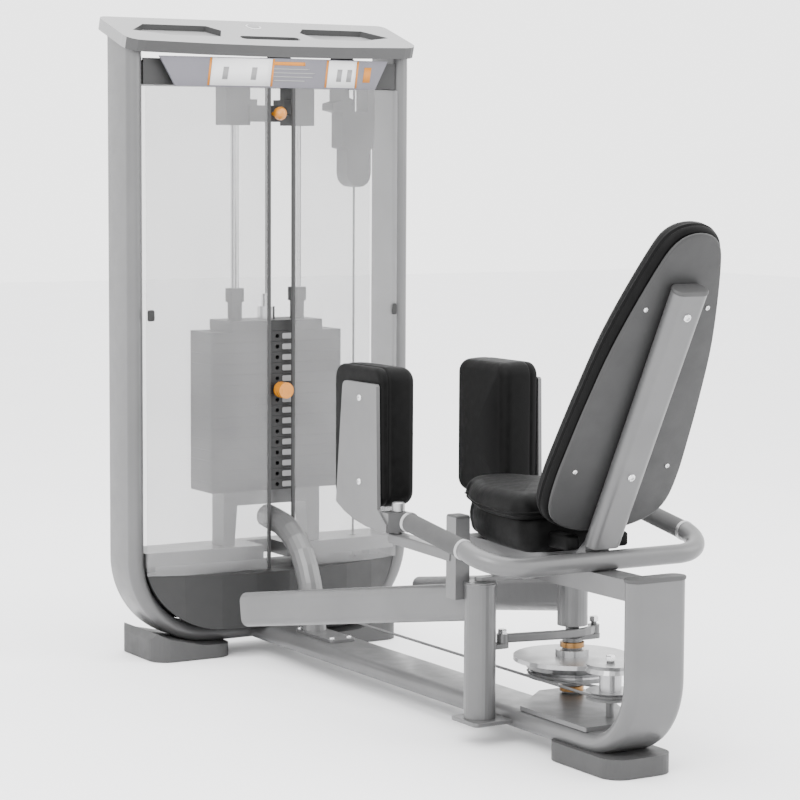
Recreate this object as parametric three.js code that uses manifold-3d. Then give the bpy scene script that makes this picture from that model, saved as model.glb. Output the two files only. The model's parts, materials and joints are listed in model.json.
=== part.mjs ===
// Hip abductor machine: a selectorised gym machine with a weight tower, a seat and two
// swinging arms that carry the thigh pads. Millimetres, +Z up, floor at z = 0.
// The user faces +Y, towards the tower; +X is on the user's right.
import * as THREE from 'three';
import { mergeVertices } from 'three/addons/utils/BufferGeometryUtils.js';
import Module from 'manifold-3d';

const wasm = await Module();
wasm.setup();

// ---------------------------------------------------------------- driving dimensions

const GAP = 0.3; // clearance between touching pieces

// flat oval steel tube of the tower and the main beam
const TUBE_WIDTH = 130;
const TUBE_THICK = 39;
const TUBE_WALL = 3.5;
const TUBE_BOTTOM = 30; // underside of the floor tubes, carried by the feet

// weight tower, centred on y = 0
const TOWER_WIDTH = 742;
const TOWER_BEND = 185;
const TOWER_INNER = TOWER_WIDTH / 2 - TUBE_THICK;
const CAP_WIDTH = 762;
const CAP_DEPTH = 196;
const CAP_THICK = 27;
const CAP_TILT = Math.atan(0.34);
const CAP_CENTRE_Z = 1426; // underside of the cap on the tower centre plane
const COVER_TOP = 198;
const SHELF_BOTTOM = 218;
const SHELF_TOP = 250;
const BRIDGE_TOP = 1385;
const BRIDGE_BOTTOM = 1325;

// weight stack
const PLATE_PITCH = 25;
const PLATE_COUNT = 15;
const PLATE_THICK = 24.4;
const PLATE_WIDTH = 346;
const PLATE_DEPTH = 114;
const STACK_Y = -26;
const HEAD_Z = 769.5; // middle of the head plate
const HEAD_WIDTH = 245;
const SELECTED = 6; // plates lifted together with the head plate
const ROD_X = 83;
const ROD_RADIUS = 9.5;
const STEM_RADIUS = 11;
const STAND_TOP = HEAD_Z - PLATE_PITCH * PLATE_COUNT - PLATE_THICK / 2 - GAP;

// pulleys and cable
const CABLE_RADIUS = 3;
const TOP_PULLEY_Z = 1370;
const PULLEY_TURN = 34; // radius of the cable round a pulley
const DROP_X = 238;
const CABLE_RUN_Z = 122;
const AXLE_RADIUS = 6;
const topPulleys = [PULLEY_TURN, DROP_X - PULLEY_TURN];

// main beam, rear upright and the two arm pivots
const REAR_FACE = -1592;
const REAR_TOP = 380;
const BEAM_BEND = 140;
const PIVOT_X = 111.5;
const PIVOT_Y = -1144;
const PIVOT_TOP = 324;
const POST_RADIUS = 32;
const SHAFT_RADIUS = 20;
const ARM_FRONT = [226, -364];
const ARM_HEIGHT = 76;
const ARM_THICK = 38;
const LINK_REACH = 53;
const LINK_Z = 196;
const IDLER = [45, -1371];
const IDLER_TURN = 40;
const CAM_TURN = 90; // radius of the cable round the cam wheel
const RUN_X = IDLER[0] - IDLER_TURN; // the cable along the beam

// thigh pads
const PAD_INNER = 98;
const PAD_OUTER = 194;
const PAD_Y = [-892, -697];
const PAD_Z = [439, 728];
const HUB = [166, -916];

// seat, backrest and handlebar
const SEAT_BOTTOM = 400.5;
const SEAT_TOP = 525;
const LEAN = THREE.MathUtils.degToRad(28);
const BACK_FOOT = [-1400, 390]; // y and z of the back tube's rear face, where lengths start
const BACK_TUBE_THICK = 34;
const BACK_TUBE_WIDTH = 76;
const BAR_RADIUS = 19;
const BAR_REAR = -1405;
const BAR_REAR_Z = 393;
const GRIP_REAR = [261, -1321, 421];
const GRIP_FRONT = [268, -1121, 452.6];

const BEAM_MID = TUBE_BOTTOM + TUBE_THICK / 2;
const BEAM_TOP = TUBE_BOTTOM + TUBE_THICK;

// ---------------------------------------------------------------- shape helpers

const point = (x, y, z) => new THREE.Vector3(x, y, z);
const SIDE_X = point(1, 0, 0);
const SIDE_Y = point(0, 1, 0);
const SIDE_Z = point(0, 0, 1);

// A polyline path for a sweep. The section's own x axis stays beside the given side vector.
class StationPath extends THREE.Curve {
  constructor(stations, side) {
    super();
    this.stations = stations;
    this.side = side;
  }

  getSpacedPoints() {
    return this.stations;
  }

  computeFrenetFrames() {
    const tangents = [];
    const normals = [];
    const binormals = [];
    const last = this.stations.length - 1;
    for (let i = 0; i <= last; i += 1) {
      const before = this.stations[Math.max(i - 1, 0)];
      const after = this.stations[Math.min(i + 1, last)];
      const tangent = after.clone().sub(before).normalize();
      const normal = this.side.clone().addScaledVector(tangent, -this.side.dot(tangent)).normalize();
      tangents.push(tangent);
      normals.push(normal);
      binormals.push(tangent.clone().cross(normal));
    }
    return { tangents, normals, binormals };
  }
}

// Straight runs joined by round bends.
function bentPath(corners, radius, steps = 7) {
  const stations = [corners[0]];
  for (let i = 1; i < corners.length - 1; i += 1) {
    const inward = corners[i].clone().sub(corners[i - 1]).normalize();
    const outward = corners[i + 1].clone().sub(corners[i]).normalize();
    const turn = inward.angleTo(outward);
    const start = corners[i].clone().addScaledVector(inward, -radius * Math.tan(turn / 2));
    const across = outward.clone().addScaledVector(inward, -Math.cos(turn)).normalize();
    for (let k = 0; k <= steps; k += 1) {
      const angle = (turn * k) / steps;
      const station = start.clone().addScaledVector(inward, radius * Math.sin(angle));
      stations.push(station.addScaledVector(across, radius * (1 - Math.cos(angle))));
    }
  }
  stations.push(corners[corners.length - 1]);
  return stations;
}

const smoothPath = (points, steps) => new THREE.CatmullRomCurve3(points).getPoints(steps);

function sweep(section, stations, side, curveSegments = 4) {
  const extrudePath = new StationPath(stations, side);
  return new THREE.ExtrudeGeometry(section, { steps: stations.length - 1, extrudePath, curveSegments });
}

// Rounded rectangle; with the radius at half the short side it is a flat oval.
function roundedRect(width, height, radius, centreX = 0, centreY = 0) {
  const x = width / 2 - radius;
  const y = height / 2 - radius;
  const shape = new THREE.Shape();
  shape.absarc(centreX + x, centreY + y, radius, 0, Math.PI / 2);
  shape.absarc(centreX - x, centreY + y, radius, Math.PI / 2, Math.PI);
  shape.absarc(centreX - x, centreY - y, radius, Math.PI, Math.PI * 1.5);
  shape.absarc(centreX + x, centreY - y, radius, Math.PI * 1.5, Math.PI * 2);
  return shape;
}

const oval = (width, height) => roundedRect(width, height, Math.min(width, height) / 2 - 0.01);

// Section of the flat oval steel tube, with its wall.
function tubeSection(wall) {
  const section = oval(TUBE_WIDTH, TUBE_THICK);
  section.holes.push(oval(TUBE_WIDTH - 2 * wall, TUBE_THICK - 2 * wall));
  return section;
}

function disc(radius) {
  const shape = new THREE.Shape();
  shape.absarc(0, 0, radius, 0, Math.PI * 2);
  return shape;
}

function polygon(points) {
  return new THREE.Shape(points.map(([x, y]) => new THREE.Vector2(x, y)));
}

// A closed outline smoothed through its points.
function smoothOutline(points, divisions) {
  const curve = new THREE.SplineCurve(points.map(([x, y]) => new THREE.Vector2(x, y)));
  return new THREE.Shape(curve.getPoints(divisions));
}

// A flat shape in the XY plane, raised from one height to another.
function slab(shape, bottom, top, curveSegments = 4) {
  const depth = top - bottom;
  const geometry = new THREE.ExtrudeGeometry(shape, { depth, bevelEnabled: false, curveSegments });
  return geometry.translate(0, 0, bottom);
}

// A shape drawn in x and z, running along Y.
function wallY(shape, front, back, curveSegments = 4) {
  const depth = back - front;
  const geometry = new THREE.ExtrudeGeometry(shape, { depth, bevelEnabled: false, curveSegments });
  return geometry.rotateX(Math.PI / 2).translate(0, back, 0);
}

// A shape drawn in y and z, running along X.
function wallX(shape, left, right, curveSegments = 4) {
  const depth = right - left;
  const geometry = new THREE.ExtrudeGeometry(shape, { depth, bevelEnabled: false, curveSegments });
  return geometry.rotateX(Math.PI / 2).rotateZ(Math.PI / 2).translate(left, 0, 0);
}

function block(x, y, z) {
  const geometry = new THREE.BoxGeometry(x[1] - x[0], y[1] - y[0], z[1] - z[0]);
  return geometry.translate((x[0] + x[1]) / 2, (y[0] + y[1]) / 2, (z[0] + z[1]) / 2);
}

function rod(radius, from, to, sides = 16) {
  const along = to.clone().sub(from);
  const geometry = new THREE.CylinderGeometry(radius, radius, along.length(), sides);
  geometry.applyQuaternion(new THREE.Quaternion().setFromUnitVectors(SIDE_Y, along.normalize()));
  const middle = from.clone().add(to).multiplyScalar(0.5);
  return geometry.translate(middle.x, middle.y, middle.z);
}

const upright = (radius, x, y, bottom, top, sides) =>
  rod(radius, point(x, y, bottom), point(x, y, top), sides);

// A turned ring about a vertical axis; the profile is a closed loop of [radius, height].
function turned(profile, sides = 24) {
  const loop = [...profile, profile[0]].map(([r, z]) => new THREE.Vector2(r, z));
  return new THREE.LatheGeometry(loop, sides).rotateX(Math.PI / 2);
}

function toSolid(geometry) {
  const bare = geometry.clone();
  bare.deleteAttribute('normal');
  bare.deleteAttribute('uv');
  const merged = mergeVertices(bare, 0.001);
  const vertProperties = new Float32Array(merged.attributes.position.array);
  const triVerts = new Uint32Array(merged.index.array);
  return new wasm.Manifold(new wasm.Mesh({ numProp: 3, vertProperties, triVerts }));
}

function toGeometry(solid) {
  const mesh = solid.getMesh();
  const geometry = new THREE.BufferGeometry();
  geometry.setAttribute('position', new THREE.BufferAttribute(new Float32Array(mesh.vertProperties), 3));
  geometry.setIndex(new THREE.BufferAttribute(new Uint32Array(mesh.triVerts), 1));
  return geometry;
}

function join(...pieces) {
  const solids = pieces.map(toSolid);
  return toGeometry(solids.reduce((whole, piece) => whole.add(piece)));
}

function cut(body, ...tools) {
  const solids = tools.map(toSolid);
  return toGeometry(solids.reduce((whole, tool) => whole.subtract(tool), toSolid(body)));
}

const common = (first, second) => toGeometry(toSolid(first).intersect(toSolid(second)));

// ---------------------------------------------------------------- materials

function finish(color, roughness, metalness, opacity = 1) {
  return () => {
    const transparent = opacity < 1;
    return new THREE.MeshStandardMaterial({ color, roughness, metalness, opacity, transparent });
  };
}

const silverPaint = finish(0xa4a6a8, 0.35, 0.6);
const darkPlastic = finish(0x4c4d4f, 0.6, 0);
const footPlastic = finish(0x6f7073, 0.6, 0);
const capPlastic = finish(0xc6c7c8, 0.5, 0);
const signPlastic = finish(0x9a969f, 0.5, 0);
const clearPlastic = finish(0xdde0e2, 0.1, 0, 0.35);
const chrome = finish(0xd4d4d4, 0.15, 1);
const plateIron = finish(0x5c5d5f, 0.55, 0.4);
const orangePlastic = finish(0xe39a17, 0.35, 0);
const cableBlack = finish(0x6b6c6e, 0.5, 0);
const wheelSteel = finish(0xb9babc, 0.35, 0.7);
const blackVinyl = finish(0x0c0c0d, 0.6, 0);
const gripRubber = finish(0x6a6b6d, 0.8, 0);
const shellPlastic = finish(0x55565a, 0.6, 0);

const machine = new THREE.Group();

function add(name, geometry, material) {
  const mesh = new THREE.Mesh(geometry, material());
  mesh.name = name;
  machine.add(mesh);
}

const mirrored = (geometry) => {
  const other = toSolid(geometry).mirror([1, 0, 0]);
  return toGeometry(other);
};

// ---------------------------------------------------------------- tower structure

// Turns a piece drawn flat into the tilt of the cap, whose back edge is the higher one.
const tilted = (geometry) => geometry.rotateX(CAP_TILT).translate(0, 0, CAP_CENTRE_Z);

function towerPath() {
  const x = (TOWER_WIDTH - TUBE_THICK) / 2;
  const corners = [[-x, 1600], [-x, BEAM_MID], [x, BEAM_MID], [x, 1600]];
  return bentPath(corners.map(([px, pz]) => point(px, 0, pz)), TOWER_BEND);
}

// Welded plate on the tower's floor tube, with the axles of the two base pulleys.
function baseBracket() {
  const bottom = BEAM_TOP - 2;
  const back = STACK_Y + 12;
  const x = DROP_X - PULLEY_TURN;
  const z = CABLE_RUN_Z + PULLEY_TURN;
  const plate = block([RUN_X, DROP_X], [STACK_Y - 36, back + 6], [bottom, bottom + 8]);
  const wall = block([DROP_X - 60, DROP_X], [back, back + 6], [bottom, z + 25]);
  const level = rod(AXLE_RADIUS, point(x, STACK_Y - 14, z), point(x, back + 2, z), 16);
  const turn = [RUN_X + PULLEY_TURN, STACK_Y - PULLEY_TURN];
  return join(plate, wall, level, upright(AXLE_RADIUS, ...turn, bottom + 2, CABLE_RUN_Z + 14, 16));
}

function towerFrame() {
  const tube = sweep(tubeSection(TUBE_WALL), towerPath(), SIDE_Y);
  const above = tilted(block([-500, 500], [-200, 200], [-GAP, 400]));
  return cut(join(tube, baseBracket()), above);
}

// A moulded foot under the tower, rising at its outer end to cradle the bend of the tube.
function towerFoot() {
  const clearance = sweep(oval(TUBE_WIDTH + 2 * GAP, TUBE_THICK + 2 * GAP), towerPath(), SIDE_Y);
  const plan = slab(roundedRect(200, 216, 44, -226, 0), 0, 100);
  const profile = polygon([
    [-326, 0], [-126, 0], [-126, 30], [-205, 33], [-290, 52], [-318, 66], [-326, 50],
  ]);
  return cut(common(plan, wallY(profile, -200, 200)), clearance);
}

function beamPath(rise) {
  const y = REAR_FACE + TUBE_THICK / 2;
  const front = -TUBE_WIDTH / 2 - GAP;
  const corners = [point(0, front, BEAM_MID), point(0, y, BEAM_MID), point(0, y, rise)];
  return bentPath(corners, BEAM_BEND);
}

// The main beam with the welded plate that carries the left pivot.
function mainBeam() {
  const tube = sweep(tubeSection(TUBE_WALL), beamPath(REAR_TOP), SIDE_X);
  return join(tube, block([-152, -63], [PIVOT_Y - 48, PIVOT_Y + 48], [41, 50]));
}

function rearFoot() {
  const section = oval(TUBE_WIDTH + 2 * GAP, TUBE_THICK + 2 * GAP);
  const body = slab(roundedRect(152, 232, 42, 0, -1434), 0, 38);
  return cut(body, sweep(section, beamPath(REAR_TOP), SIDE_X));
}

function topCap() {
  const half = CAP_WIDTH / 2;
  const front = -CAP_DEPTH / 2;
  const outline = new THREE.Shape();
  outline.moveTo(-half + 40, front + 8);
  outline.quadraticCurveTo(0, front - 24, half - 40, front + 8);
  outline.quadraticCurveTo(half, front + 12, half, front + 48);
  outline.lineTo(half, -front - 24);
  outline.quadraticCurveTo(half, -front, half - 24, -front);
  outline.lineTo(-half + 24, -front);
  outline.quadraticCurveTo(-half, -front, -half, -front - 24);
  outline.lineTo(-half, front + 48);
  outline.quadraticCurveTo(-half, front + 12, -half + 40, front + 8);
  const tray = slab(outline, 0, CAP_THICK);
  const floor = CAP_THICK - 14;
  const open = CAP_THICK + 5;
  const trayOutline = [[-338, -8], [-290, 44], [-128, 44], [-104, 10], [-128, -40], [-250, -40]];
  const left = slab(polygon(trayOutline), floor, open);
  const right = slab(polygon(trayOutline.map(([x, y]) => [-x, y])), floor, open);
  const middle = slab(roundedRect(156, 26, 12, 0, -42), floor + 4, open);
  return tilted(cut(tray, left, right, middle));
}

// Bowed sign panel under the front edge of the cap.
function placard() {
  const radius = 2400;
  const centre = radius - 97;
  const reach = Math.asin(310 / radius);
  const bow = new THREE.Shape();
  bow.absarc(0, centre, radius, -Math.PI / 2 - reach, -Math.PI / 2 + reach);
  bow.absarc(0, centre, radius - 6, -Math.PI / 2 + reach, -Math.PI / 2 - reach, true);
  const curved = slab(bow, 1300, 1420, 10);
  const outline = wallY(polygon([[-262, 1322], [262, 1322], [300, 1390], [-300, 1390]]), -200, 0);
  return common(curved, outline);
}

// A channel across the tower head; its inner wall carries the two top pulleys.
function topBridge() {
  const profile = [
    [-58, BRIDGE_BOTTOM], [62, BRIDGE_BOTTOM], [62, BRIDGE_TOP], [56, BRIDGE_TOP],
    [56, BRIDGE_BOTTOM + 6], [-52, BRIDGE_BOTTOM + 6], [-52, BRIDGE_TOP], [-58, BRIDGE_TOP],
  ];
  const channel = wallX(polygon(profile), -TOWER_INNER + GAP, TOWER_INNER - GAP);
  const wall = block([-8, DROP_X + 8], [STACK_Y + 13, STACK_Y + 19], [BRIDGE_BOTTOM + 4, 1394]);
  const axles = topPulleys.map((x) => rod(
    AXLE_RADIUS, point(x, STACK_Y - 14, TOP_PULLEY_Z), point(x, STACK_Y + 15, TOP_PULLEY_Z), 16,
  ));
  const ports = [0, DROP_X].map((x) => upright(9, x, STACK_Y, 1300, 1340, 12));
  return cut(join(channel, wall, ...axles), ...ports);
}

// A clear front panel whose outer edge is folded back to the upright.
function frontShroud() {
  const edge = -TOWER_INNER + GAP;
  const plan = polygon([
    [edge, -72], [-246, -103], [-32, -103], [-32, -99], [-245, -99], [edge, -68],
  ]);
  return slab(plan, COVER_TOP + 1, 1321.5);
}

// Plan of the base, straight at the back and bowed towards the user in front.
function basePlan(inset, bow) {
  const half = TOWER_INNER - GAP - inset;
  const shape = new THREE.Shape();
  shape.moveTo(half, 56 - inset);
  shape.lineTo(-half, 56 - inset);
  shape.lineTo(-half, -62 + inset);
  shape.quadraticCurveTo(0, -62 - 2 * bow + inset, half, -62 + inset);
  return shape;
}

function baseCover() {
  const clearance = sweep(oval(TUBE_WIDTH + 2, TUBE_THICK + 2 * GAP), towerPath(), SIDE_Y);
  const shell = slab(basePlan(0, 82), BEAM_TOP + GAP, COVER_TOP, 8);
  const hollow = slab(basePlan(6, 82), 0, COVER_TOP - 4, 8);
  const cablePort = upright(9, DROP_X, STACK_Y, 150, 300);
  const cableDoor = block([-8, 20], [-260, -100], [60, 138]);
  const bendInner = TOWER_BEND - TUBE_THICK / 2;
  const loop = roundedRect(2 * (TOWER_INNER - GAP), 1000, bendInner, 0, BEAM_TOP + GAP + 500);
  const inside = common(shell, wallY(loop, -300, 100, 10));
  return cut(inside, hollow, clearance, cablePort, cableDoor);
}

// Shelf over the base cover, its two legs, and the bridge that the stack rests on.
function stackStand() {
  const outline = polygon([
    [-128, SHELF_TOP - 1], [-100, SHELF_TOP - 1], [-92, 346], [92, 346], [100, SHELF_TOP - 1],
    [128, SHELF_TOP - 1], [128, STAND_TOP], [-128, STAND_TOP],
  ]);
  const shelf = slab(basePlan(1, 12), SHELF_BOTTOM, SHELF_TOP, 8);
  const legSpan = [COVER_TOP + GAP, SHELF_BOTTOM + 1];
  const legs = [-300, 300].map((x) => block([x - 12, x + 12], [-20, 20], legSpan));
  const cablePort = upright(9, DROP_X, STACK_Y, 150, 300);
  const bend = sweep(oval(TUBE_WIDTH + 2, TUBE_THICK + 2 * GAP), towerPath(), SIDE_Y);
  const braceSlot = wallX(polygon([[-260, 150], [-60, 150], [20, 200], [20, 345], [-260, 345]]), -31, 31);
  return cut(join(wallY(outline, STACK_Y - 30, STACK_Y + 30), shelf, ...legs), cablePort, bend, braceSlot);
}

const braceStations = smoothPath(
  [point(0, -264, 70), point(0, -248, 160), point(0, -205, 245), point(0, -130, 297), point(0, -30, 314)],
  10,
);

function braceTube() {
  const tube = sweep(disc(28), braceStations, SIDE_X, 8);
  const plate = slab(roundedRect(66, 176, 12, 0, -316), BEAM_TOP + GAP, BEAM_TOP + 7);
  const below = block([-60, 60], [-500, 0], [0, BEAM_TOP + GAP]);
  const cableBore = rod(8, point(RUN_X, -330, CABLE_RUN_Z), point(RUN_X, -180, CABLE_RUN_Z), 12);
  return cut(join(tube, plate), below, cableBore);
}

add('tower_frame', towerFrame(), silverPaint);
add('left_foot', towerFoot(), footPlastic);
add('right_foot', mirrored(towerFoot()), footPlastic);
add('rear_foot', rearFoot(), footPlastic);
add('main_beam', mainBeam(), silverPaint);
add('top_cap', topCap(), capPlastic);
add('placard', placard(), signPlastic);
add('top_bridge', topBridge(), darkPlastic);
add('left_shroud', frontShroud(), clearPlastic);
add('right_shroud', mirrored(frontShroud()), clearPlastic);
const rearPanel = [-TOWER_INNER + GAP, TOWER_INNER - GAP];
add('rear_shroud', block(rearPanel, [57, 61], [COVER_TOP + 1, BRIDGE_BOTTOM - GAP]), clearPlastic);
add('base_cover', baseCover(), darkPlastic);
add('stack_stand', stackStand(), silverPaint);
add('brace_tube', braceTube(), silverPaint);

// ---------------------------------------------------------------- weight stack

const rodBores = (bottom, top) => [-ROD_X, ROD_X].map((x) => upright(ROD_RADIUS + 1, x, STACK_Y, bottom, top, 8));

function pinBore(z) {
  return rod(5.5, point(0, -120, z), point(0, STACK_Y, z), 6);
}

function weightPlate(z) {
  const bottom = z - PLATE_THICK / 2;
  const top = z + PLATE_THICK / 2;
  const plate = slab(roundedRect(PLATE_WIDTH, PLATE_DEPTH, 6, 0, STACK_Y), bottom, top, 2);
  const stemBore = upright(STEM_RADIUS + 1.5, 0, STACK_Y, bottom - 1, top + 1, 10);
  return cut(plate, stemBore, ...rodBores(bottom - 1, top + 1), pinBore(z));
}

function headPlate() {
  const bottom = HEAD_Z - PLATE_THICK / 2;
  const top = HEAD_Z + PLATE_THICK / 2;
  const plate = slab(roundedRect(HEAD_WIDTH, PLATE_DEPTH, 6, 0, STACK_Y), bottom, top);
  const sleeves = [-ROD_X, ROD_X].flatMap((x) => [
    upright(17, x, STACK_Y, top - 1, 826),
    upright(22, x, STACK_Y, 824, 856),
  ]);
  const stemBore = upright(STEM_RADIUS + 1, 0, STACK_Y, bottom - 1, top + 1, 16);
  return cut(join(plate, ...sleeves), stemBore, ...rodBores(bottom - 1, 860));
}

function selectorStem() {
  const bottom = HEAD_Z - PLATE_PITCH * PLATE_COUNT - 8;
  const top = HEAD_Z + PLATE_THICK / 2 + GAP;
  const stem = upright(STEM_RADIUS, 0, STACK_Y, bottom, 842, 16);
  const collar = upright(21, 0, STACK_Y, top, 812, 16);
  const bore = upright(CABLE_RADIUS + 1.5, 0, STACK_Y, bottom - 1, 850, 12);
  const pinZ = HEAD_Z - PLATE_PITCH * SELECTED;
  const crossBore = rod(5.5, point(0, -80, pinZ), point(0, 40, pinZ), 10);
  return cut(join(stem, collar), bore, crossBore);
}

function selectorPin() {
  const z = HEAD_Z - PLATE_PITCH * SELECTED;
  const shank = rod(4.5, point(0, -100, z), point(0, STACK_Y + 8, z), 12);
  const knob = rod(19, point(0, -128, z), point(0, -99, z), 20);
  const neck = rod(12, point(0, -99.5, z), point(0, -88, z));
  return join(shank, knob, neck);
}

add('head_plate', headPlate(), plateIron);
add('selector_stem', selectorStem(), chrome);
for (let n = 1; n <= PLATE_COUNT; n += 1) {
  const name = `weight_plate_${String(n).padStart(2, '0')}`;
  add(name, weightPlate(HEAD_Z - PLATE_PITCH * n), plateIron);
}
add('selector_pin', selectorPin(), orangePlastic);
const rodSpan = [STAND_TOP + GAP, BRIDGE_BOTTOM - GAP];
add('left_guide_rod', upright(ROD_RADIUS, -ROD_X, STACK_Y, ...rodSpan, 16), chrome);
add('right_guide_rod', upright(ROD_RADIUS, ROD_X, STACK_Y, ...rodSpan, 16), chrome);

// ---------------------------------------------------------------- tower head and cable

const KNOB_Z = 1263;

// Stop block round a guide rod, with a step towards the middle.
function topStop() {
  const outline = polygon([
    [-116, 1236], [-54, 1236], [-54, 1262], [-36, 1262], [-36, 1296], [-54, 1296],
    [-54, BRIDGE_BOTTOM - GAP], [-116, BRIDGE_BOTTOM - GAP],
  ]);
  return cut(wallY(outline, -50, 6), ...rodBores(1200, 1400));
}

// The left stop also carries the cross arm that guides the ball knob.
function leftTopStop() {
  const arm = block([-60, 22], [-62, -48], [1244, 1282]);
  const bore = rod(5, point(0, -80, KNOB_Z), point(0, -20, KNOB_Z), 12);
  return cut(join(topStop(), arm), bore);
}

function incrementKnob() {
  const ball = new THREE.SphereGeometry(16, 14, 8).translate(0, -96, KNOB_Z);
  const stem = rod(4.5, point(0, -90, KNOB_Z), point(0, -38, KNOB_Z), 12);
  return join(ball, stem);
}

// Grooved wheel about the vertical axis.
function wheel(turn, width, bore) {
  const half = width / 2;
  const groove = turn - CABLE_RADIUS - 0.4;
  return turned([
    [bore, -half], [turn + 3, -half], [groove, -1.5], [groove, 1.5], [turn + 3, half], [bore, half],
  ]);
}

const pulley = () => wheel(PULLEY_TURN, 16, AXLE_RADIUS + 0.4);
const standingPulley = (x, z) => pulley().rotateX(Math.PI / 2).translate(x, STACK_Y, z);

// Guard hung under the bridge, with the drop cable running down through it.
function cableGuard() {
  const top = BRIDGE_BOTTOM - GAP;
  const outline = new THREE.Shape();
  outline.moveTo(186, top);
  outline.lineTo(186, 1296);
  outline.lineTo(166, 1290);
  outline.lineTo(166, 1274);
  outline.lineTo(192, 1268);
  outline.lineTo(192, 1186);
  outline.lineTo(206, 1182);
  outline.lineTo(206, 1124);
  outline.absarc(238, 1124, 32, Math.PI, Math.PI * 2);
  outline.lineTo(270, 1182);
  outline.lineTo(280, 1186);
  outline.lineTo(280, top);
  outline.lineTo(260, top);
  outline.lineTo(260, 1272);
  outline.lineTo(224, 1272);
  outline.lineTo(224, 1298);
  outline.lineTo(210, 1304);
  outline.lineTo(210, top);
  return cut(wallY(outline, -52, 2), upright(6, DROP_X, STACK_Y, 1000, 1400, 12));
}

// Points of a level arc at the height of the cable's run along the beam.
function arcPoints(centre, radius, from, to, steps) {
  const points = [];
  for (let i = 0; i <= steps; i += 1) {
    const angle = from + ((to - from) * i) / steps;
    const x = centre[0] + radius * Math.cos(angle);
    points.push(point(x, centre[1] + radius * Math.sin(angle), CABLE_RUN_Z));
  }
  return points;
}

// One steel cable, from inside the selector stem over both top pulleys, down beside the
// stack, under the base pulley, along the beam, round the rear idler and on to the cam wheel.
function liftCable() {
  const top = TOP_PULLEY_Z + PULLEY_TURN;
  const overhead = bentPath([
    point(0, STACK_Y, 800), point(0, STACK_Y, top), point(DROP_X, STACK_Y, top), point(DROP_X, STACK_Y, 400),
  ], PULLEY_TURN, 6);
  const across = bentPath([
    point(DROP_X, STACK_Y, 399), point(DROP_X, STACK_Y, CABLE_RUN_Z), point(RUN_X + 60, STACK_Y, CABLE_RUN_Z),
  ], PULLEY_TURN, 5);
  const along = bentPath([
    point(RUN_X + 61, STACK_Y, CABLE_RUN_Z), point(RUN_X, STACK_Y, CABLE_RUN_Z), point(RUN_X, -900, CABLE_RUN_Z),
  ], PULLEY_TURN, 5);
  // Round the rear of the idler, then across to the far side of the cam wheel.
  const reach = [PIVOT_X - IDLER[0], PIVOT_Y - IDLER[1]];
  const crossing = Math.asin((IDLER_TURN + CAM_TURN) / Math.hypot(...reach));
  const heading = Math.atan2(reach[1], reach[0]) + crossing;
  const round = arcPoints(IDLER, IDLER_TURN, Math.PI, heading + Math.PI * 1.5, 10);
  const wound = arcPoints([PIVOT_X, PIVOT_Y], CAM_TURN, heading + Math.PI / 2, Math.PI / 2, 6);
  const section = disc(CABLE_RADIUS);
  const upper = sweep(section, [...overhead, ...across.slice(1)], SIDE_Y, 2);
  const lower = sweep(section, [...along, ...round, ...wound], SIDE_Z, 2);
  return join(upper, lower);
}

add('left_top_stop', leftTopStop(), darkPlastic);
add('right_top_stop', mirrored(topStop()), darkPlastic);
add('increment_knob', incrementKnob(), orangePlastic);
add('cable_guard', cableGuard(), darkPlastic);
add('lift_pulley', standingPulley(topPulleys[0], TOP_PULLEY_Z), darkPlastic);
add('drop_pulley', standingPulley(topPulleys[1], TOP_PULLEY_Z), darkPlastic);
add('base_pulley', standingPulley(DROP_X - PULLEY_TURN, CABLE_RUN_Z + PULLEY_TURN), darkPlastic);
const turnPulley = pulley().translate(RUN_X + PULLEY_TURN, STACK_Y - PULLEY_TURN, CABLE_RUN_Z);
add('turn_pulley', turnPulley, darkPlastic);
add('lift_cable', liftCable(), cableBlack);

// ---------------------------------------------------------------- pivots, arms and pads

// Plate on the beam under the right arm's shaft, with the idler axle.
function driveBracket() {
  const bottom = BEAM_TOP + GAP;
  const plan = polygon([
    [-54, -1432], [70, -1432], [152, -1210], [152, PIVOT_Y + 48],
    [64, PIVOT_Y + 48], [-54, PIVOT_Y - 60],
  ]);
  return join(slab(plan, bottom, bottom + 9), upright(8, ...IDLER, bottom + 4, 190));
}

// Level of the arm tube's centre line at its two ends.
const ARM_REAR_Z = PIVOT_TOP - ARM_HEIGHT / 2 - 2;
const ARM_FRONT_Z = 158;

// The left swinging arm without its lower shaft: hub tube, arm tube, upright, pad bar and pin.
function armBody(tubeBottom, tubeRadius) {
  const hubTube = upright(tubeRadius, -PIVOT_X, PIVOT_Y, tubeBottom, PIVOT_TOP, 28);
  const rear = point(-PIVOT_X, PIVOT_Y, ARM_REAR_Z);
  const front = point(-ARM_FRONT[0], ARM_FRONT[1], ARM_FRONT_Z);
  const armTube = sweep(oval(ARM_THICK, ARM_HEIGHT), [rear, front], SIDE_X);
  const post = block([-PIVOT_X - 47, -PIVOT_X - 14], [PIVOT_Y + 18, PIVOT_Y + 54], [288, 452]);
  const barSection = roundedRect(34, 22, 5);
  const barRear = point(-PIVOT_X - 32, PIVOT_Y + 40, 372);
  const barFront = point(-HUB[0], HUB[1] + 14, 386);
  const bar = sweep(barSection, [barRear, barFront], SIDE_X, 2);
  const pin = upright(9, -HUB[0], HUB[1], 380, 458, 16);
  return join(hubTube, armTube, post, bar, pin);
}

function leftArm() {
  const lug = slab(oval(LINK_REACH + 26, 26), LINK_Z - 10, LINK_Z - GAP)
    .translate(-PIVOT_X + LINK_REACH / 2, PIVOT_Y, 0);
  return join(armBody(50 + GAP, POST_RADIUS), lug);
}

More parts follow.
